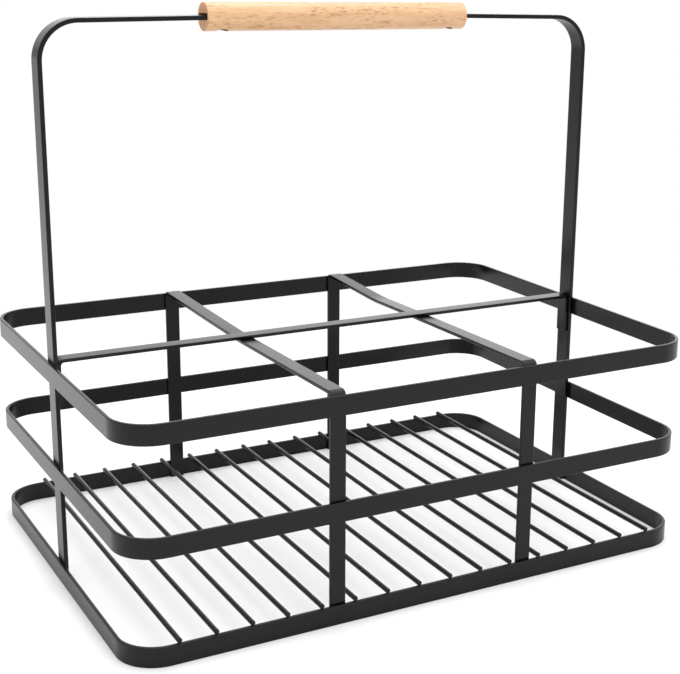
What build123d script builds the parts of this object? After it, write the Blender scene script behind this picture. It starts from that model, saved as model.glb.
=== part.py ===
from build123d import *
import os
from math import cos, radians, sin, tan

# Bottle caddy: three flat-bar hoops, two divider straps, a crossbar and a handle with a wooden
# grip, over a floor of round rods. Sizes are in millimetres and include the powder coat.
# X runs along the caddy, Y from front to back, Z up. The origin is the middle of the underside.

# Flat bar, the same gauge everywhere but in the handle
bar_thickness = 2.2

# Hoops
caddy_length = 380.0
caddy_depth = 268.0
hoop_bar_height = 12.0
hoop_corner_radius = 24.0
hoop_pitch = 63.5
hoop_names = ("base_hoop", "middle_hoop", "top_hoop")

# Floor rods, laid across the base hoop's upper edge
rod_count = 16
rod_diameter = 3.1
rod_corner_gap = 4.75
rod_end_inset = 0.5

# Divider straps, each standing between two rods
rods_within_divider = 3
divider_bar_width = 9.8
strap_bend_radius = 2.0
seat_margin = 1.1
rear_sag_place = 58.0
left_rear_sag = 0.15
right_rear_sag = 2.1
slope_blend_radius = 200.0

# Crossbar, laid over the dividers, with a tab turned down at each end
crossbar_bar_width = 9.8
crossbar_tab_drop = 27.0

# Handle bows. The right arm lies above the grip's axis by the offset and the left arm below it.
grip_axis_height = 337.2
handle_bar_width = 13.0
handle_bar_thickness = 2.7
handle_corner_radius = 24.0
arm_tilt = 0.75
arm_offset = 0.19
arm_insertion = 34.0

# Wooden grip, which sits a little turned on its arms, with its underside towards the front.
# Its slots clear the arms by the play above and below, and by the side clearance beside them.
grip_diameter = 17.0
grip_length = 177.8
grip_shift = 1.3
grip_turn = 2.0
grip_end_round = 0.5
slot_play = 0.06
slot_side_clearance = 0.3
slot_end_gap = 1.0
slot_corner_radius = 0.5

# Grip screws, driven up from below and from a little towards the front
screw_turn = 7.0
screw_shank_diameter = 3.0
screw_hole_clearance = 0.3
screw_inset = 11.2
screw_reach = 5.0
screw_tip_length = 1.5
screw_head_diameter = 6.8
screw_head_height = 2.0
screw_head_round = 0.6
screw_head_recess = 1.2
counterbore_clearance = 0.5

# Cuts run past the surface by this much
overrun = 1.0

# Worked-out places
inner_length = caddy_length - 2 * bar_thickness
inner_depth = caddy_depth - 2 * bar_thickness
top_rim = (len(hoop_names) - 1) * hoop_pitch + hoop_bar_height
first_rod_inset = hoop_corner_radius + rod_corner_gap
rod_pitch = (caddy_length - 2 * first_rod_inset) / (rod_count - 1)
divider_offset = rods_within_divider * rod_pitch
strap_top = top_rim + bar_thickness
seat_top = strap_top - bar_thickness
leg_face = inner_length / 2
tab_face = leg_face - handle_bar_thickness
arm_rise = tan(radians(arm_tilt))
right_grip_end = grip_length / 2 + grip_shift
left_grip_end = grip_length / 2 - grip_shift
right_screw_place = right_grip_end - screw_inset
left_screw_place = left_grip_end - screw_inset
screw_places = (-left_screw_place, right_screw_place)
counterbore_depth = screw_head_recess + screw_head_height

# How a round body stands on its starting height or hangs below it
standing = (Align.CENTER, Align.CENTER, Align.MIN)
hanging = (Align.CENTER, Align.CENTER, Align.MAX)


def beside(path, distance):
    """The open path moved to its right by a distance, mitred at the bends."""
    headings = [(b - a).normalized() for a, b in zip(path, path[1:])]
    sides = [Vector(h.Y, -h.X) for h in headings]
    moved = [path[0] + sides[0] * distance]
    for corner, before, after in zip(path[1:], sides, sides[1:]):
        moved.append(corner + (before + after) * (distance / (1 + before.dot(after))))
    moved.append(path[-1] + sides[-1] * distance)
    return moved


def bent_bar(path, inside_radii, width, plane, thickness=bar_thickness):
    """Flat bar bent on edge: the path is one face of it, and the bar lies to the path's right."""
    other = beside(path, thickness)
    path_radii = []
    other_radii = []
    for a, b, c, radius in zip(path, path[1:], path[2:], inside_radii):
        turns_right = (b - a).cross(c - b).Z < 0
        path_radii.append(radius + thickness if turns_right else radius)
        other_radii.append(radius if turns_right else radius + thickness)
    face_line = FilletPolyline(*path, radius=path_radii)
    other_line = FilletPolyline(*other, radius=other_radii)
    ends = [Line(path[0], other[0]), Line(path[-1], other[-1])]
    outline = make_face([*face_line.edges(), *other_line.edges(), *ends])
    return extrude(plane * outline, amount=width / 2, both=True)


def hoop(level):
    """Flat bar on edge, bent into a rounded rectangle, with its lower edge at the level."""
    outside = RectangleRounded(caddy_length, caddy_depth, hoop_corner_radius)
    inside = RectangleRounded(inner_length, inner_depth, hoop_corner_radius - bar_thickness)
    return Pos(0, 0, level) * extrude(outside - inside, amount=hoop_bar_height)


def floor_rod(x):
    """Round rod from the front to the back, resting on the base hoop's upper edge."""
    length = caddy_depth - 2 * rod_end_inset
    height = hoop_bar_height + rod_diameter / 2
    return Pos(x, 0, height) * Cylinder(rod_diameter / 2, length, rotation=(90, 0, 0))


def divider_strap(x, rear_sag):
    """Upturned U inside the hoops, sloping down from both ends to a flat seat for the crossbar.

    The rear half hangs below a straight slope by the sag.
    """
    reach = inner_depth / 2
    seat = crossbar_bar_width / 2 + seat_margin
    slope = (strap_top - seat_top) / (reach - seat)
    sag_top = seat_top + (rear_sag_place - seat) * slope - rear_sag
    path = [
        Vector(-reach, 0),
        Vector(-reach, strap_top),
        Vector(-seat, seat_top),
        Vector(seat, seat_top),
        Vector(rear_sag_place, sag_top),
        Vector(reach, strap_top),
        Vector(reach, 0),
    ]
    radii = [strap_bend_radius, *[slope_blend_radius] * 3, strap_bend_radius]
    return Pos(x, 0, 0) * bent_bar(path, radii, divider_bar_width, Plane.YZ)


def crossbar():
    """Bar over both dividers, its ends turned down against the handle's legs."""
    path = [
        Vector(-tab_face, strap_top - crossbar_tab_drop),
        Vector(-tab_face, strap_top),
        Vector(tab_face, strap_top),
        Vector(tab_face, strap_top - crossbar_tab_drop),
    ]
    return bent_bar(path, [strap_bend_radius, strap_bend_radius], crossbar_bar_width, Plane.XZ)


def handle_bow(grip_end, screw_place, offset):
    """Right-hand bow: a leg inside the hoops, a wide bend and an arm that climbs into the grip.

    Halfway along its slot the arm lies above the grip's axis by the offset.
    """
    middle_top = grip_axis_height + offset + handle_bar_thickness / 2
    path = [
        Vector(grip_end - arm_insertion, middle_top + arm_insertion / 2 * arm_rise),
        Vector(leg_face, middle_top - (leg_face - grip_end + arm_insertion / 2) * arm_rise),
        Vector(leg_face, 0),
    ]
    inside_radius = handle_corner_radius - handle_bar_thickness
    bow = bent_bar(path, [inside_radius], handle_bar_width, Plane.XZ, handle_bar_thickness)
    hole = Cylinder(screw_shank_diameter / 2 + screw_hole_clearance, grip_diameter)
    return bow - Pos(screw_place, 0, grip_axis_height) * hole


def wooden_grip():
    """Turned grip with eased ends, a blind slot for each arm and a screw hole near each end."""
    body = Cylinder(grip_diameter / 2, grip_length, rotation=(0, 90, 0))
    body = fillet(body.edges().filter_by(GeomType.CIRCLE), grip_end_round)
    slot = extrude(Plane.YZ * slot_section(), amount=arm_insertion + slot_end_gap + overrun)
    mouth = grip_length / 2 + overrun
    slots = [Pos(mouth, 0, 0) * Rot(0, 0, 180) * slot, Pos(-mouth, 0, 0) * slot]
    grip = Pos(grip_shift, 0, grip_axis_height) * (body - slots)
    grip = turned(grip, grip_turn)
    underside = grip_axis_height - grip_diameter / 2
    holes = [turned(Pos(x, 0, underside) * screw_hole(), screw_turn) for x in screw_places]
    return grip - holes


def slot_section():
    """Section of a slot, which clears an arm that lies turned and climbing in it."""
    across = cos(radians(grip_turn))
    aslant = sin(radians(grip_turn))
    arm_width = handle_bar_width * across + handle_bar_thickness * aslant
    arm_height = handle_bar_thickness * across + handle_bar_width * aslant
    spread = arm_insertion * arm_rise + 2 * arm_offset
    width = arm_width + 2 * slot_side_clearance
    return RectangleRounded(width, arm_height + spread + 2 * slot_play, slot_corner_radius)


def turned(shape, angle):
    """The shape turned about the grip's axis, with its underside towards the front."""
    axis = Pos(0, 0, grip_axis_height)
    return axis * Rot(-angle, 0, 0) * axis.inverse() * shape


def screw_hole():
    """Counterbore and pilot hole, measured up from the grip's underside."""
    bore_radius = screw_head_diameter / 2 + counterbore_clearance
    bore_height = counterbore_depth + overrun
    bore = Pos(0, 0, counterbore_depth - bore_height / 2) * Cylinder(bore_radius, bore_height)
    return bore + Pos(0, 0, counterbore_depth) * screw_shank()


def screw_shank():
    """Shank and point above the screw's head, which bears at height zero."""
    radius = screw_shank_diameter / 2
    straight = grip_diameter / 2 - counterbore_depth + screw_reach - screw_tip_length
    shank = Cylinder(radius, straight, align=standing)
    return shank + Pos(0, 0, straight) * Cone(radius, 0, screw_tip_length, align=standing)


def grip_screw(x):
    """Pan-head screw standing head down in its counterbore."""
    head = Cylinder(screw_head_diameter / 2, screw_head_height, align=hanging)
    head = fillet(head.edges().group_by(Axis.Z)[0], screw_head_round)
    bearing = grip_axis_height - grip_diameter / 2 + counterbore_depth
    return turned(Pos(x, 0, bearing) * (head + screw_shank()), screw_turn)


def rod_places():
    """Middle lines of the floor rods, evenly spread along X."""
    first = first_rod_inset - caddy_length / 2
    return [first + i * rod_pitch for i in range(rod_count)]


pieces = {}
for i, name in enumerate(hoop_names):
    pieces[name] = hoop(i * hoop_pitch)
for i, x in enumerate(rod_places(), start=1):
    pieces[f"base_rod_{i:02d}"] = floor_rod(x)
pieces["divider_strap_left"] = divider_strap(-divider_offset, left_rear_sag)
pieces["divider_strap_right"] = divider_strap(divider_offset, right_rear_sag)
pieces["crossbar"] = crossbar()
left_bow = handle_bow(left_grip_end, left_screw_place, -arm_offset)
pieces["handle_bow_left"] = mirror(left_bow, about=Plane.YZ)
pieces["handle_bow_right"] = handle_bow(right_grip_end, right_screw_place, arm_offset)
pieces["wooden_grip"] = wooden_grip()
pieces["grip_screws"] = Compound([grip_screw(x).solid() for x in screw_places])

os.makedirs("parts", exist_ok=True)
for name, shape in pieces.items():
    export_step(shape, f"parts/{name}.step")
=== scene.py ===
import math

import bmesh
import bpy
from bpy.props import FloatProperty, FloatVectorProperty, PointerProperty
from mathutils import Matrix, Vector


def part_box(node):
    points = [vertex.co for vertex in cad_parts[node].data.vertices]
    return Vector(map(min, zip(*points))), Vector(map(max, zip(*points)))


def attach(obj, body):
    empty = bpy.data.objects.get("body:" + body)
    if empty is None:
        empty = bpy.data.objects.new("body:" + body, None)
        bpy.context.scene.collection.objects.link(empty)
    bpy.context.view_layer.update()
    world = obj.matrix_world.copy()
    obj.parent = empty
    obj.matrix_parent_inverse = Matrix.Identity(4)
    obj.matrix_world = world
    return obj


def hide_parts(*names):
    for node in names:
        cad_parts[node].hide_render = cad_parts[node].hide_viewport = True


bl_info = {
    "name": "Bottle Caddy",
    "version": (1, 0, 0),
    "blender": (4, 5, 0),
    "location": "View3D > Sidebar > Bottle Caddy",
    "description": "Flat-bar bottle caddy in powder-coated steel with a turned wooden grip",
    "category": "Add Mesh",
}

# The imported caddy, which gives every piece its place and size
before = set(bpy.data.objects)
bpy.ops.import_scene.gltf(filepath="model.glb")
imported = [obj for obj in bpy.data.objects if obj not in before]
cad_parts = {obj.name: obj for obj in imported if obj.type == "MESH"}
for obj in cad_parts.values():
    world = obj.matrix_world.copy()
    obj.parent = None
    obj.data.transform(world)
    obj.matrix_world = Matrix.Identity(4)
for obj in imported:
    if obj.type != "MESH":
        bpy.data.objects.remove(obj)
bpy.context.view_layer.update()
BODY = "root"
HOOPS = ("base_hoop", "middle_hoop", "top_hoop")
RODS = [name for name in sorted(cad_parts) if name.startswith("base_rod")]

# Radii of the dividers' gentle bends, at the ends of the seat and where the rear half sags
SEAT_BLEND = 0.1
SAG_BLEND = 0.2

# Rounding of the rods' ends, as a share of their radius
ROD_END_ROUND = 0.35

# How far a bore's cutter stands out of the wood
OVERRUN = 0.001

# How finely the round forms are divided
HOOP_CORNER_SEGMENTS = 18
HANDLE_CORNER_SEGMENTS = 18
STRAP_BEND_SEGMENTS = 8
EDGE_SEGMENTS = 3
ROD_SEGMENTS = 24
GRIP_SEGMENTS = 96
GRIP_END_SEGMENTS = 5
SLOT_CORNER_SEGMENTS = 4
BORE_SEGMENTS = 48
MOUTH_SEGMENTS = 2

# Edges that turn by more than this are corners, and points nearer than this are one
CORNER_ANGLE = math.radians(50)
MERGE_DISTANCE = 1e-6

# How far the coat's roughness strays from its setting
ROUGHNESS_SPREAD = 0.04

# The screws' darker and lighter steel
STEEL_DARK = (0.22, 0.20, 0.18, 1)
STEEL_LIGHT = (0.38, 0.36, 0.33, 1)

# The photograph's camera: its place in metres, its turn in degrees and the shift of its lens
CAMERA_PLACE = (-0.390568, -0.771009, 0.371981)
CAMERA_TURN = (74.63386, -1.05055, -29.99610)
CAMERA_SHIFT = (-0.108508, -0.005614)
SENSOR_WIDTH = 36.0
NEAREST_SEEN = 0.01

# The broad light from above: where it comes from, how wide it is and its colour
KEY_DIRECTION = (0.2, -0.2, 1.0)
KEY_SPREAD = math.radians(85)
KEY_COLOUR = (1.0, 0.98, 0.95)

# The floor's size, and the colours of the floor and of the room's light
FLOOR_SIZE = 40.0
FLOOR_COLOUR = (0.765, 0.783, 0.803, 1)
ROOM_COLOUR = (1.0, 0.975, 0.955, 1)


class BarSettings(bpy.types.PropertyGroup):
    """Sizes of the flat bars"""

    thickness: FloatProperty(
        name="Bar thickness", description="Thickness of the flat bars, coat included",
        default=0.0022, min=0.0005, max=0.01, unit="LENGTH")
    handle_thickness: FloatProperty(
        name="Handle thickness", description="Thickness of the handle's flat bar, coat included",
        default=0.0027, min=0.0005, max=0.01, unit="LENGTH")
    edge_radius: FloatProperty(
        name="Edge radius", description="Rounding of the bars' edges under the coat",
        default=0.0005, min=0.0001, max=0.001, unit="LENGTH")
    hoop_corner: FloatProperty(
        name="Hoop corner", description="Outer radius of the hoops' corners",
        default=0.024, min=0.005, max=0.1, unit="LENGTH")
    strap_bend: FloatProperty(
        name="Strap bend", description="Outer radius of the dividers' and the crossbar's bends",
        default=0.0042, min=0.003, max=0.02, unit="LENGTH")
    handle_corner: FloatProperty(
        name="Handle corner", description="Outer radius of the handle's bends",
        default=0.024, min=0.005, max=0.1, unit="LENGTH")
    arm_tilt: FloatProperty(
        name="Arm tilt", description="How steeply each arm climbs into the grip",
        default=math.radians(0.75), min=0.0, max=0.2, unit="ROTATION")
    seat_reach: FloatProperty(
        name="Seat half length", description="Half length of the dividers' flat seat",
        default=0.006, min=0.001, max=0.03, unit="LENGTH")
    sag_place: FloatProperty(
        name="Sag place", description="Where a divider's rear half hangs lowest",
        default=0.058, min=0.02, max=0.12, unit="LENGTH")
    left_sag: FloatProperty(
        name="Left sag", description="Sag of the left divider's rear half",
        default=0.00015, min=0.0, max=0.01, unit="LENGTH")
    right_sag: FloatProperty(
        name="Right sag", description="Sag of the right divider's rear half",
        default=0.0021, min=0.0, max=0.01, unit="LENGTH")


class GripSettings(bpy.types.PropertyGroup):
    """Sizes of the wooden grip's joint"""

    end_round: FloatProperty(
        name="End round", description="Radius of the grip's eased ends",
        default=0.0005, min=0.0002, max=0.005, unit="LENGTH")
    slot_width: FloatProperty(
        name="Slot width", description="Width of the slot for each arm",
        default=0.01369, min=0.005, max=0.016, unit="LENGTH")
    slot_height: FloatProperty(
        name="Slot height", description="Height of the slot for each arm",
        default=0.0041, min=0.0023, max=0.008, unit="LENGTH")
    slot_corner: FloatProperty(
        name="Slot corner", description="Radius of the slots' corners",
        default=0.0005, min=0.0001, max=0.002, unit="LENGTH")
    slot_depth: FloatProperty(
        name="Slot depth", description="How far each slot runs into the grip",
        default=0.035, min=0.01, max=0.08, unit="LENGTH")
    bore_width: FloatProperty(
        name="Screw bore", description="Diameter of the bore that hides each screw's head",
        default=0.0078, min=0.004, max=0.012, unit="LENGTH")
    bore_depth: FloatProperty(
        name="Bore depth", description="Depth of the bore for each screw's head",
        default=0.0032, min=0.001, max=0.006, unit="LENGTH")
    mouth_round: FloatProperty(
        name="Mouth round", description="Rounding of the mouths of the slots and bores",
        default=0.0003, min=0.0, max=0.001, unit="LENGTH")
    turn: FloatProperty(
        name="Turn", description="How far the grip's underside is turned towards the front",
        default=math.radians(2.0), min=-0.2, max=0.2, unit="ROTATION")
    bore_turn: FloatProperty(
        name="Bore turn", description="How far the screw bores are turned towards the front",
        default=math.radians(7.0), min=-0.3, max=0.3, unit="ROTATION")


class FinishSettings(bpy.types.PropertyGroup):
    """Colours and surface of the finishes"""

    coat: FloatVectorProperty(
        name="Powder coat", description="Colour of the powder coat",
        default=(0.0026, 0.0025, 0.0044), min=0.0, max=1.0, size=3, subtype="COLOR")
    coat_roughness: FloatProperty(
        name="Coat roughness", description="Roughness of the powder coat",
        default=0.27, min=0.0, max=1.0, subtype="FACTOR")
    wood_light: FloatVectorProperty(
        name="Light wood", description="Pale ground colour of the grip",
        default=(0.86, 0.535, 0.295), min=0.0, max=1.0, size=3, subtype="COLOR")
    wood_tan: FloatVectorProperty(
        name="Tan wood", description="Warmer bands in the grip's grain",
        default=(0.77, 0.45, 0.23), min=0.0, max=1.0, size=3, subtype="COLOR")
    wood_fleck: FloatVectorProperty(
        name="Wood fleck", description="Colour of the grip's short dark flecks",
        default=(0.56, 0.25, 0.105), min=0.0, max=1.0, size=3, subtype="COLOR")
    wood_sheen: FloatProperty(
        name="Wood sheen", description="Weight of the thin satin coat on the turned wood",
        default=0.6, min=0.0, max=1.0, subtype="FACTOR")
    wood_end: FloatVectorProperty(
        name="End grain", description="Colour of the cut across the grip's ends",
        default=(0.88, 0.485, 0.275), min=0.0, max=1.0, size=3, subtype="COLOR")


class StageSettings(bpy.types.PropertyGroup):
    """Light and camera"""

    focal_length: FloatProperty(
        name="Focal length", description="Camera lens in millimetres on a 36 mm wide sensor",
        default=72.063, min=10.0, max=300.0)
    room_light: FloatProperty(
        name="Room light", description="Brightness of the room all round",
        default=0.4, min=0.0, max=5.0)
    front_light: FloatProperty(
        name="Front light", description="How much brighter the room is in front of the caddy",
        default=0.3, min=0.0, max=5.0)
    rear_light: FloatProperty(
        name="Backdrop light", description="How much brighter the backdrop behind to the right is",
        default=1.95, min=0.0, max=5.0)
    left_light: FloatProperty(
        name="Left light", description="How much brighter a small patch straight behind the caddy is",
        default=0.7, min=0.0, max=5.0)
    high_light: FloatProperty(
        name="High light", description="How much brighter the room is high up behind the caddy",
        default=1.45, min=0.0, max=5.0)
    key_light: FloatProperty(
        name="Key light", description="Strength of the broad light from above",
        default=2.1, min=0.0, max=20.0)
    floor_glow: FloatProperty(
        name="Floor glow", description="How much the floor is lifted towards white for the camera",
        default=0.155, min=0.0, max=2.0)
    floor_shine: FloatProperty(
        name="Floor shine", description="How much brighter the floor behind shows in glossy faces",
        default=0.35, min=0.0, max=2.0)


def settings(name):
    """One group of the caddy's settings, by its name on the scene."""
    return getattr(bpy.context.scene, name)


def add_piece(name, bm, material, *nodes, slot="powder_coated_steel", smooth_angle=40.0):
    """Turns a finished bmesh into a piece that rides with the caddy and stands for its nodes."""
    mesh = bpy.data.meshes.new(name)
    bm.to_mesh(mesh)
    bm.free()
    for polygon in mesh.polygons:
        polygon.use_smooth = True
    mesh.set_sharp_from_angle(angle=math.radians(smooth_angle))
    mesh.materials.append(material)
    piece = bpy.data.objects.new(name, mesh)
    bpy.context.scene.collection.objects.link(piece)
    weigh = piece.modifiers.new("flat_faces_stay_flat", "WEIGHTED_NORMAL")
    weigh.keep_sharp = True
    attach(piece, BODY)
    if nodes:
        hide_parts(*nodes)
    return piece


def wire(bm, path, closed=False):
    """Draws a line through the points of a path."""
    points = [bm.verts.new(point) for point in path]
    following = points[1:] + points[:1] if closed else points[1:]
    for start, end in zip(points, following):
        bm.edges.new((start, end))
    return points


def round_points(bm, points, offset, segments):
    """Rounds points of a wire."""
    bmesh.ops.bevel(
        bm, geom=points, offset=offset, offset_type="OFFSET", segments=segments, profile=0.5,
        affect="VERTICES", material=-1, clamp_overlap=False)


def round_edges(bm, edges, offset, segments):
    """Rounds edges of a solid, as far as there is room."""
    bmesh.ops.bevel(
        bm, geom=edges, offset=offset, offset_type="OFFSET", segments=segments, profile=0.5,
        affect="EDGES", material=-1, clamp_overlap=True)


def corner_edges(bm):
    """Edges of a solid where two faces meet at a corner."""
    return [edge for edge in bm.edges if edge.calc_face_angle(0.0) > CORNER_ANGLE]


def round_corner(bm, corner, radius, segments):
    """Rounds one corner of a wire to a radius."""
    neighbours = [edge.other_vert(corner).co for edge in corner.link_edges]
    before, after = [(place - corner.co).normalized() for place in neighbours]
    turn = math.pi - before.angle(after)
    round_points(bm, [corner], radius * math.tan(turn / 2), segments)


def thicken(bm, width, thickness, outward):
    """Widens a wire into a strip, thickens it away from its outer face and eases its edges."""
    wide = bmesh.ops.extrude_edge_only(bm, edges=bm.edges[:])
    moved = [part for part in wide["geom"] if isinstance(part, bmesh.types.BMVert)]
    bmesh.ops.translate(bm, verts=moved, vec=width)
    bmesh.ops.recalc_face_normals(bm, faces=bm.faces[:])
    bm.faces.ensure_lookup_table()
    if bm.faces[0].normal.dot(outward(bm.faces[0].calc_center_median())) < 0:
        bmesh.ops.reverse_faces(bm, faces=bm.faces[:])
    bmesh.ops.solidify(bm, geom=bm.faces[:], thickness=thickness)
    bmesh.ops.recalc_face_normals(bm, faces=bm.faces[:])
    round_edges(bm, corner_edges(bm), settings("caddy_bars").edge_radius, EDGE_SEGMENTS)


def hoop_mesh(low, high):
    """Rounded rectangle of flat bar on edge, filling the box between two corners."""
    bars = settings("caddy_bars")
    bm = bmesh.new()
    outline = [(low.x, low.y), (high.x, low.y), (high.x, high.y), (low.x, high.y)]
    for corner in wire(bm, [(x, y, low.z) for x, y in outline], closed=True):
        round_corner(bm, corner, bars.hoop_corner, HOOP_CORNER_SEGMENTS)
    thicken(bm, Vector((0, 0, high.z - low.z)), bars.thickness, lambda place: place)
    return bm


def bent_bar_mesh(path, radii, width, thickness, segments):
    """Flat bar along a path: the path is its outer face and it is widened by a vector."""
    bm = bmesh.new()
    for corner, radius in zip(wire(bm, path)[1:-1], radii):
        round_corner(bm, corner, radius, segments)
    middle = sum((point.co for point in bm.verts), Vector()) / len(bm.verts)
    thicken(bm, width, thickness, lambda place: place - middle)
    return bm


def spun(profile, axis, centre, steps, eased=(), radius=0.0):
    """Turns a profile of points round an axis; the eased points of it are rounded first."""
    bm = bmesh.new()
    points = wire(bm, profile)
    if eased:
        round_points(bm, [points[i] for i in eased], radius, GRIP_END_SEGMENTS)
    bmesh.ops.spin(
        bm, geom=bm.verts[:] + bm.edges[:], cent=centre, axis=axis, angle=2 * math.pi,
        steps=steps, use_merge=True)
    bmesh.ops.remove_doubles(bm, verts=bm.verts[:], dist=MERGE_DISTANCE)
    bmesh.ops.recalc_face_normals(bm, faces=bm.faces[:])
    return bm


def slot_cutter(end, height):
    """Blind slot for an arm, with rounded corners, from beyond the grip's end."""
    sizes = settings("caddy_grip")
    bm = bmesh.new()
    bmesh.ops.create_cube(bm, size=1.0)
    bmesh.ops.scale(bm, vec=(2 * sizes.slot_depth, sizes.slot_width, sizes.slot_height), verts=bm.verts)
    long_edges = [edge for edge in bm.edges if edge.calc_length() > sizes.slot_depth]
    round_edges(bm, long_edges, sizes.slot_corner, SLOT_CORNER_SEGMENTS)
    bmesh.ops.translate(bm, vec=(end, 0, height), verts=bm.verts)
    return bm


def bore_cutter(x, underside, height):
    """Bore for a screw's head, up into the grip's underside, with painted shade on its faces."""
    sizes = settings("caddy_grip")
    side = x + sizes.bore_width / 2
    mouth = underside - OVERRUN
    ceiling = underside + sizes.bore_depth
    bm = spun(
        [(x, 0, mouth), (side, 0, mouth), (side, 0, ceiling), (x, 0, ceiling)],
        Vector((0, 0, 1)), (x, 0, 0), BORE_SEGMENTS)
    lean = Matrix.Rotation(sizes.turn - sizes.bore_turn, 4, "X")
    bmesh.ops.rotate(bm, cent=(0, 0, height), matrix=lean, verts=bm.verts)
    # Its faces take the second material, the painted shade of the bores
    for face in bm.faces:
        face.material_index = 1
    return bm


def plain_object(name, bm, *materials):
    """Object that is not a piece of the caddy, such as a cutter or the floor."""
    mesh = bpy.data.meshes.new(name)
    bm.to_mesh(mesh)
    bm.free()
    for material in materials:
        mesh.materials.append(material)
    made = bpy.data.objects.new(name, mesh)
    bpy.context.scene.collection.objects.link(made)
    return made


def cut_away(body, cutters):
    """Takes the cutters out of the body and hands back the result as a bmesh."""
    for cutter in cutters:
        cut = body.modifiers.new("cut", "BOOLEAN")
        cut.operation = "DIFFERENCE"
        cut.solver = "EXACT"
        cut.material_mode = "TRANSFER"
        cut.object = cutter
    shaped = body.evaluated_get(bpy.context.evaluated_depsgraph_get())
    bm = bmesh.new()
    bm.from_mesh(shaped.to_mesh())
    shaped.to_mesh_clear()
    for used in (body, *cutters):
        mesh = used.data
        bpy.data.objects.remove(used)
        bpy.data.meshes.remove(mesh)
    return bm


class Shading:
    """Node tree of a finish, the floor or the room, with the kinds of node that they share."""

    def __init__(self, tree):
        self.nodes = tree.nodes
        self.links = tree.links

    def feed(self, node, feeds):
        """Gives each named socket of a node a plain value or another node's output."""
        for name, value in feeds.items():
            socket = node.inputs[name]
            if isinstance(value, bpy.types.NodeSocket):
                self.links.new(value, socket)
            else:
                socket.default_value = value

    def add(self, kind, feeds=None, **traits):
        """Adds a node of a kind, with its traits set and its sockets fed."""
        node = self.nodes.new(kind)
        for trait, value in traits.items():
            setattr(node, trait, value)
        self.feed(node, feeds or {})
        return node

    def calculate(self, operation, *values):
        """One sum of one, two or three values."""
        return self.add("ShaderNodeMath", dict(enumerate(values)), operation=operation).outputs["Value"]

    def ramp(self, value, start=0.0, end=1.0, low=0.0, high=1.0, kind="LINEAR"):
        """Goes from low to high while the value goes from start to end."""
        feeds = {"Value": value, "From Min": start, "From Max": end, "To Min": low, "To Max": high}
        return self.add("ShaderNodeMapRange", feeds, interpolation_type=kind).outputs["Result"]

    def soft_step(self, value, start, end, high=1.0):
        """Goes from nothing to high, gently at both ends, while the value goes from start to end."""
        return self.ramp(value, start, end, high=high, kind="SMOOTHSTEP")

    def noise(self, scale, detail=2.0, stretch=1.0, lean=0.0):
        """Noise in the caddy's own coordinates; a stretch below 1 draws it out from left to right."""
        place = self.add("ShaderNodeTexCoord").outputs["Object"]
        feeds = {"Vector": place, "Scale": (stretch, 1.0, 1.0), "Rotation": (0.0, lean, 0.0)}
        drawn = self.add("ShaderNodeMapping", feeds).outputs["Vector"]
        feeds = {"Vector": drawn, "Scale": scale, "Detail": detail}
        return self.add("ShaderNodeTexNoise", feeds).outputs["Fac"]

    def two_tone(self, value, first, second, start=0.0, end=1.0):
        """Goes from the first colour to the second while the value goes from start to end."""
        tones = self.add("ShaderNodeValToRGB", {"Fac": value})
        for stop, position, colour in zip(tones.color_ramp.elements, (start, end), (first, second)):
            stop.position = position
            stop.color = colour
        return tones.outputs["Color"]

    def blend(self, factor, first, second):
        """Mixes two colours, each a plain colour or another node's output."""
        mix = self.add("ShaderNodeMix", data_type="RGBA")
        places = {socket.identifier: i for i, socket in enumerate(mix.inputs)}
        colours = {places["A_Color"]: first, places["B_Color"]: second}
        self.feed(mix, {places["Factor_Float"]: factor, **colours})
        return {socket.identifier: socket for socket in mix.outputs}["Result_Color"]

    def relief(self, height, strength, distance, invert=False):
        """Fine relief, as the normals that a shader takes."""
        feeds = {"Height": height, "Strength": strength, "Distance": distance}
        return self.add("ShaderNodeBump", feeds, invert=invert).outputs["Normal"]


def shade(colour, share=1.0):
    """Lighter or darker shade of a colour, with the alpha that a node wants."""
    return (*[share * part for part in colour], 1)


def made_of(recipe):
    """The material that a recipe dresses, under the recipe's own name, made only once."""
    material = bpy.data.materials.get(recipe.__name__)
    if material is None:
        material = bpy.data.materials.new(recipe.__name__)
        material.use_nodes = True
        recipe(Shading(material.node_tree), material.node_tree.nodes["Principled BSDF"])
    return material


def powder_coat(shading, shader):
    """Satin black powder coat with a fine grain and faint patches."""
    finish = settings("caddy_finish")
    grain = shading.noise(scale=1400.0)
    patches = shading.noise(scale=30.0, detail=3.0)
    darker, lighter = shade(finish.coat, 0.9), shade(finish.coat, 1.1)
    rough = finish.coat_roughness
    shading.feed(shader, {
        "Base Color": shading.two_tone(patches, darker, lighter, start=0.35, end=0.65),
        "Roughness": shading.ramp(grain, low=rough - ROUGHNESS_SPREAD, high=rough + ROUGHNESS_SPREAD),
        "IOR": 1.38,
        "Normal": shading.relief(grain, strength=0.12, distance=0.00008),
    })


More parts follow.
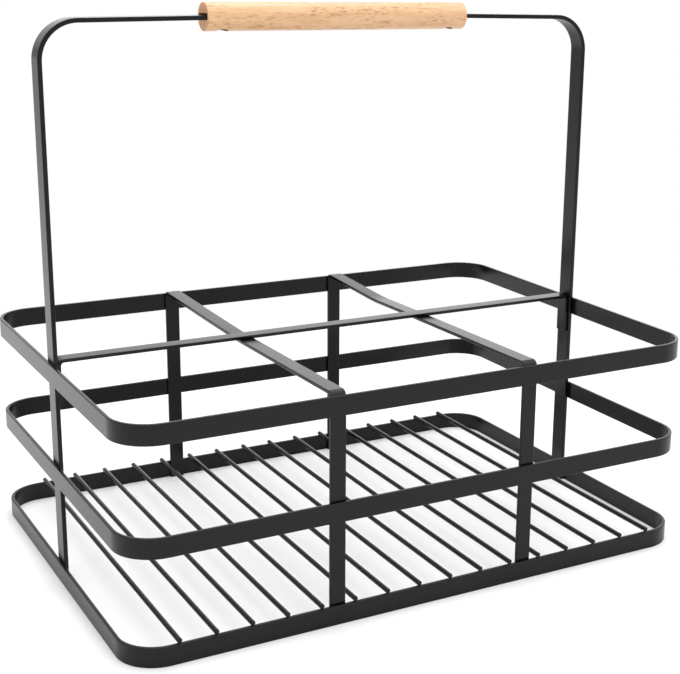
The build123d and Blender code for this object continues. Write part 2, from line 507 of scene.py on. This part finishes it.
def bare_turned_wood(shading, shader):
    """Bare turned wood: long pale bands, short dark flecks along the grip and browner cut ends."""
    finish = settings("caddy_finish")
    bands = shading.noise(scale=300.0, detail=3.0, stretch=0.15)
    bands = shading.soft_step(bands, start=0.3, end=0.75)
    ground = shading.blend(bands, shade(finish.wood_light), shade(finish.wood_tan))

    # Flecks are thickest where they crowd together, and hold the finest vessels
    flecks = shading.noise(scale=850.0, detail=1.5, stretch=0.26, lean=math.radians(3))
    flecks = shading.soft_step(flecks, start=0.47, end=0.7)
    crowds = shading.soft_step(shading.noise(scale=110.0, stretch=0.3), start=0.35, end=0.65)
    vessels = shading.noise(scale=3000.0, detail=1.0, stretch=0.08)
    vessels = shading.soft_step(vessels, start=0.56, end=0.68)
    crowded = shading.ramp(shading.calculate("MULTIPLY", flecks, crowds), high=0.9)
    flecked = shading.blend(crowded, ground, shade(finish.wood_fleck))
    fleck_vessels = shading.ramp(shading.calculate("MULTIPLY", vessels, flecks), high=0.45)
    side = shading.blend(fleck_vessels, flecked, shade(finish.wood_fleck, 0.7))

    # The cut ends are the faces that look along the grip
    normal = shading.add("ShaderNodeNewGeometry").outputs["Normal"]
    across = shading.add("ShaderNodeSeparateXYZ", {"Vector": normal}).outputs["X"]
    cut = shading.soft_step(shading.calculate("ABSOLUTE", across), start=0.5, end=0.9)
    pores = shading.soft_step(shading.noise(scale=1600.0), start=0.4, end=0.7)
    ends = shading.blend(pores, shade(finish.wood_end), shade(finish.wood_end, 0.78))

    shading.feed(shader, {
        "Base Color": shading.blend(cut, side, ends),
        "Roughness": shading.ramp(flecks, low=0.4, high=0.6),
        "Specular IOR Level": shading.ramp(cut, low=0.5, high=0.1),
        "Coat Weight": shading.ramp(cut, low=finish.wood_sheen, high=0.0),
        "Coat Roughness": 0.22,
        "Normal": shading.relief(vessels, strength=0.25, distance=0.0001, invert=True),
    })


def bore_painted_shade(shading, shader):
    """Painted shade inside the screw bores: the end-grain colour darkened to a small share of itself,
    mottled by noise.
    """
    finish = settings("caddy_finish")
    bore_mottle = shading.noise(scale=1100.0)
    # Painted shade: the bores' walls are darkened to 14 to 28 percent of the end-grain colour
    darker, lighter = shade(finish.wood_end, 0.14), shade(finish.wood_end, 0.28)
    shading.feed(shader, {
        "Base Color": shading.two_tone(bore_mottle, darker, lighter),
        "Roughness": 0.8,
    })


def dull_screw_steel(shading, shader):
    """Dull zinc-plated steel."""
    patches = shading.noise(scale=600.0)
    shading.feed(shader, {
        "Base Color": shading.two_tone(patches, STEEL_DARK, STEEL_LIGHT),
        "Metallic": 1.0,
        "Roughness": 0.42,
    })


def floor_material():
    """Plain pale floor: keeps the caddy's shadow, plain white further off and dimmer there in gloss."""
    stage = settings("caddy_stage")
    material = bpy.data.materials.new("studio_floor")
    material.use_nodes = True
    shading = Shading(material.node_tree)
    shading.nodes.clear()
    place = shading.add("ShaderNodeTexCoord").outputs["Object"]
    split = shading.add("ShaderNodeSeparateXYZ", {"Vector": place}).outputs
    rays = shading.add("ShaderNodeLightPath").outputs

    # Lifted a little for the camera, and behind to the left for what glossy faces mirror
    behind = shading.ramp(split["Y"], start=-0.2, end=0.4, high=stage.floor_shine)
    left = shading.ramp(split["X"], start=-0.05, end=-0.25)
    corner = shading.calculate("MULTIPLY", behind, left)
    shine = shading.calculate("MULTIPLY", corner, rays["Is Glossy Ray"])
    lift = shading.calculate("MULTIPLY_ADD", rays["Is Camera Ray"], stage.floor_glow, shine)
    matt = shading.add("ShaderNodeBsdfDiffuse", {"Color": FLOOR_COLOUR}).outputs["BSDF"]
    glow = shading.add("ShaderNodeEmission", {"Strength": lift}).outputs["Emission"]
    near = shading.add("ShaderNodeAddShader", {0: matt, 1: glow}).outputs["Shader"]
    reach = shading.add("ShaderNodeVectorMath", {0: place}, operation="LENGTH").outputs["Value"]

    def far_off(shader, start, end, ray, strength):
        """Goes over to an even glow between two distances, for one kind of ray."""
        even = shading.add("ShaderNodeEmission", {"Strength": strength}).outputs["Emission"]
        share = shading.calculate("MULTIPLY", shading.ramp(reach, start, end), rays[ray])
        return shading.add("ShaderNodeMixShader", {"Fac": share, 1: shader, 2: even}).outputs["Shader"]

    dimmed = far_off(near, start=0.6, end=1.7, ray="Is Glossy Ray", strength=0.88)
    whitened = far_off(dimmed, start=0.3, end=0.6, ray="Is Camera Ray", strength=1.0)
    shading.add("ShaderNodeOutputMaterial", {"Surface": whitened})
    return material


def studio_world():
    """Dim room with a bright backdrop behind to the right, plain white for the camera."""
    stage = settings("caddy_stage")
    world = bpy.data.worlds.new("studio_room")
    world.use_nodes = True
    shading = Shading(world.node_tree)
    direction = shading.add("ShaderNodeTexCoord").outputs["Generated"]

    def glow(middle, edge, core, strength):
        """Bright patch round a direction; edge and core are cosines of the angle from it."""
        facing = shading.add("ShaderNodeVectorMath", {0: direction, 1: middle}, operation="DOT_PRODUCT")
        return shading.soft_step(facing.outputs["Value"], edge, core, strength)

    # The backdrop fades towards its upper edge
    height = shading.add("ShaderNodeSeparateXYZ", {"Vector": direction}).outputs["Z"]
    fade = shading.ramp(height, start=0.23, end=0.34, low=1.0, high=0.42)
    rear = glow((0.66, 0.75, 0.05), edge=0.67, core=1.0, strength=stage.rear_light)
    rear = shading.calculate("MULTIPLY", rear, fade)
    front = glow((-0.55, -0.78, 0.3), edge=0.0, core=0.8, strength=stage.front_light)
    high = glow((0.08, 0.44, 0.894), edge=0.82, core=0.96, strength=stage.high_light)
    left = glow((-0.03, 0.966, 0.257), edge=0.95, core=0.99, strength=stage.left_light)
    level = shading.calculate("ADD", rear, front)
    for patch in (high, left, stage.room_light):
        level = shading.calculate("ADD", level, patch)

    room = shading.nodes["Background"]
    shading.feed(room, {"Color": ROOM_COLOUR, "Strength": level})
    white = shading.add("ShaderNodeBackground", {"Color": (1, 1, 1, 1), "Strength": 1.0})
    seen = shading.add("ShaderNodeLightPath").outputs["Is Camera Ray"]
    lights = {"Fac": seen, 1: room.outputs["Background"], 2: white.outputs["Background"]}
    pick = shading.add("ShaderNodeMixShader", lights)
    shading.feed(shading.nodes["World Output"], {"Surface": pick.outputs["Shader"]})
    return world


class CADDY_OT_hoops(bpy.types.Operator):
    """Build the three flat-bar hoops"""

    bl_idname = "caddy.hoops"
    bl_label = "Hoops"

    def execute(self, context):
        for node in HOOPS:
            add_piece(node + "_bar", hoop_mesh(*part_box(node)), made_of(powder_coat), node)
        return {"FINISHED"}


class CADDY_OT_divider_straps(bpy.types.Operator):
    """Build the two divider straps"""

    bl_idname = "caddy.divider_straps"
    bl_label = "Divider straps"

    def execute(self, context):
        bars = settings("caddy_bars")
        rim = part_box("top_hoop")[1].z
        top = rim + bars.thickness
        seat = bars.seat_reach
        radii = [bars.strap_bend, SEAT_BLEND, SEAT_BLEND, SAG_BLEND, bars.strap_bend]
        sags = {"divider_strap_left": bars.left_sag, "divider_strap_right": bars.right_sag}
        for node, sag in sags.items():
            low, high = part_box(node)
            slope = bars.thickness / (high.y - seat)
            hang = rim + (bars.sag_place - seat) * slope - sag
            path = [
                (low.x, low.y, low.z),
                (low.x, low.y, top),
                (low.x, -seat, rim),
                (low.x, seat, rim),
                (low.x, bars.sag_place, hang),
                (low.x, high.y, top),
                (low.x, high.y, low.z),
            ]
            across = Vector((high.x - low.x, 0, 0))
            bm = bent_bar_mesh(path, radii, across, bars.thickness, STRAP_BEND_SEGMENTS)
            add_piece(node + "_bar", bm, made_of(powder_coat), node)
        return {"FINISHED"}


class CADDY_OT_crossbar(bpy.types.Operator):
    """Build the crossbar with its turned-down tabs"""

    bl_idname = "caddy.crossbar"
    bl_label = "Crossbar"

    def execute(self, context):
        bars = settings("caddy_bars")
        low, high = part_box("crossbar")
        path = [
            (low.x, low.y, low.z),
            (low.x, low.y, high.z),
            (high.x, low.y, high.z),
            (high.x, low.y, low.z),
        ]
        across = Vector((0, high.y - low.y, 0))
        bm = bent_bar_mesh(path, [bars.strap_bend] * 2, across, bars.thickness, STRAP_BEND_SEGMENTS)
        add_piece("crossbar_bar", bm, made_of(powder_coat), "crossbar")
        return {"FINISHED"}


class CADDY_OT_handle_bows(bpy.types.Operator):
    """Build the handle's two bows"""

    bl_idname = "caddy.handle_bows"
    bl_label = "Handle bows"

    def execute(self, context):
        bars = settings("caddy_bars")
        for node, side in (("handle_bow_left", -1), ("handle_bow_right", 1)):
            low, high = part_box(node)
            leg, arm = (low.x, high.x) if side < 0 else (high.x, low.x)
            arm_top = high.z - abs(leg - arm) * math.tan(bars.arm_tilt)
            path = [(leg, low.y, low.z), (leg, low.y, arm_top), (arm, low.y, high.z)]
            across = Vector((0, high.y - low.y, 0))
            bm = bent_bar_mesh(
                path, [bars.handle_corner], across, bars.handle_thickness, HANDLE_CORNER_SEGMENTS)
            add_piece(node + "_bar", bm, made_of(powder_coat), node)
        return {"FINISHED"}


class CADDY_OT_floor_rods(bpy.types.Operator):
    """Build the floor's round rods"""

    bl_idname = "caddy.floor_rods"
    bl_label = "Floor rods"

    def execute(self, context):
        for node in RODS:
            low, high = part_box(node)
            radius = (high.x - low.x) / 2
            length = high.y - low.y
            lying = Matrix.Translation((low + high) / 2) @ Matrix.Rotation(math.pi / 2, 4, "X")
            bm = bmesh.new()
            bmesh.ops.create_cone(
                bm, cap_ends=True, cap_tris=False, segments=ROD_SEGMENTS, radius1=radius,
                radius2=radius, depth=length, matrix=lying)
            round_edges(bm, corner_edges(bm), radius * ROD_END_ROUND, EDGE_SEGMENTS)
            add_piece(node + "_wire", bm, made_of(powder_coat), node)
        return {"FINISHED"}


class CADDY_OT_grip(bpy.types.Operator):
    """Build the turned wooden grip"""

    bl_idname = "caddy.grip"
    bl_label = "Wooden grip"

    def execute(self, context):
        sizes = settings("caddy_grip")
        low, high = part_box("wooden_grip")
        height = (low.z + high.z) / 2
        top = height + (high.y - low.y) / 2
        profile = [(low.x, 0, height), (low.x, 0, top), (high.x, 0, top), (high.x, 0, height)]
        along = Vector((1, 0, 0))
        body = spun(
            profile, along, (0, 0, height), GRIP_SEGMENTS, eased=(1, 2), radius=sizes.end_round)
        # The second finish paints shade on the bores' walls
        finishes = made_of(bare_turned_wood), made_of(bore_painted_shade)
        body = plain_object("grip_body", body, *finishes)
        cutters = [slot_cutter(end, height) for end in (low.x, high.x)]
        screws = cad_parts["grip_screws"].data
        for side in (-1, 1):
            reach = [point.co.x for point in screws.vertices if point.co.x * side > 0]
            cutters.append(bore_cutter((min(reach) + max(reach)) / 2, low.z, height))
        bm = cut_away(body, [plain_object("cutter", cutter, *finishes) for cutter in cutters])
        bmesh.ops.remove_doubles(bm, verts=bm.verts[:], dist=MERGE_DISTANCE)
        turn = Matrix.Rotation(-sizes.turn, 4, "X")
        bmesh.ops.rotate(bm, cent=(0, 0, height), matrix=turn, verts=bm.verts)
        wood, bore_shade = finishes
        piece = add_piece(
            "wooden_grip_turned", bm, wood, "wooden_grip", slot="grip_wood", smooth_angle=35.0)
        # The bores' painted shade goes in as the second material
        piece.data.materials.append(bore_shade)
        ease = piece.modifiers.new("eased_mouths", "BEVEL")
        ease.width = sizes.mouth_round
        ease.segments = MOUTH_SEGMENTS
        ease.limit_method = "ANGLE"
        ease.angle_limit = CORNER_ANGLE
        ease.use_clamp_overlap = True
        # The mouths are eased before the normals are weighted
        piece.modifiers.move(1, 0)
        return {"FINISHED"}


class CADDY_OT_screws(bpy.types.Operator):
    """Give the grip's two screws their finish"""

    bl_idname = "caddy.screws"
    bl_label = "Grip screws"

    def execute(self, context):
        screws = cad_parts["grip_screws"].data
        screws.materials.clear()
        screws.materials.append(made_of(dull_screw_steel))
        return {"FINISHED"}


class CADDY_OT_stage(bpy.types.Operator):
    """Set up the floor, the light and the camera"""

    bl_idname = "caddy.stage"
    bl_label = "Stage"

    def execute(self, context):
        stage = settings("caddy_stage")
        scene = context.scene
        bm = bmesh.new()
        bmesh.ops.create_grid(bm, x_segments=1, y_segments=1, size=FLOOR_SIZE)
        plain_object("studio_floor", bm, floor_material())
        scene.world = studio_world()

        lamp = bpy.data.lights.new("key_light", "SUN")
        lamp.energy = stage.key_light
        lamp.angle = KEY_SPREAD
        lamp.color = KEY_COLOUR
        key = bpy.data.objects.new("key_light", lamp)
        key.rotation_euler = Vector(KEY_DIRECTION).to_track_quat("Z", "Y").to_euler()
        scene.collection.objects.link(key)

        lens = bpy.data.cameras.new("photo_camera")
        lens.sensor_width = SENSOR_WIDTH
        lens.sensor_fit = "HORIZONTAL"
        lens.lens = stage.focal_length
        lens.shift_x, lens.shift_y = CAMERA_SHIFT
        lens.clip_start = NEAREST_SEEN
        camera = bpy.data.objects.new("photo_camera", lens)
        camera.location = CAMERA_PLACE
        camera.rotation_euler = [math.radians(angle) for angle in CAMERA_TURN]
        scene.collection.objects.link(camera)
        scene.camera = camera
        scene.view_settings.view_transform = "Standard"
        return {"FINISHED"}


class CADDY_PT_panel(bpy.types.Panel):
    """The caddy's operators and settings"""

    bl_idname = "CADDY_PT_panel"
    bl_label = "Bottle Caddy"
    bl_space_type = "VIEW_3D"
    bl_region_type = "UI"
    bl_category = "Bottle Caddy"

    def draw(self, context):
        for name, _ in GROUPS:
            group = getattr(context.scene, name)
            box = self.layout.box()
            for prop in group.bl_rna.properties:
                if prop.identifier not in ("rna_type", "name"):
                    box.prop(group, prop.identifier)
        for operator in OPERATORS:
            self.layout.operator(operator.bl_idname)


OPERATORS = (
    CADDY_OT_hoops,
    CADDY_OT_divider_straps,
    CADDY_OT_crossbar,
    CADDY_OT_handle_bows,
    CADDY_OT_floor_rods,
    CADDY_OT_grip,
    CADDY_OT_screws,
    CADDY_OT_stage,
)
GROUPS = (
    ("caddy_bars", BarSettings),
    ("caddy_grip", GripSettings),
    ("caddy_finish", FinishSettings),
    ("caddy_stage", StageSettings),
)


def register():
    for name, group in GROUPS:
        bpy.utils.register_class(group)
        setattr(bpy.types.Scene, name, PointerProperty(type=group))
    for cls in (*OPERATORS, CADDY_PT_panel):
        bpy.utils.register_class(cls)


def unregister():
    for cls in (CADDY_PT_panel, *reversed(OPERATORS)):
        bpy.utils.unregister_class(cls)
    for name, group in reversed(GROUPS):
        delattr(bpy.types.Scene, name)
        bpy.utils.unregister_class(group)


def main():
    """Builds the caddy and its stage."""
    register()
    bpy.ops.caddy.hoops()
    bpy.ops.caddy.divider_straps()
    bpy.ops.caddy.crossbar()
    bpy.ops.caddy.handle_bows()
    bpy.ops.caddy.floor_rods()
    bpy.ops.caddy.grip()
    bpy.ops.caddy.screws()
    bpy.ops.caddy.stage()


if __name__ == "__main__":
    main()
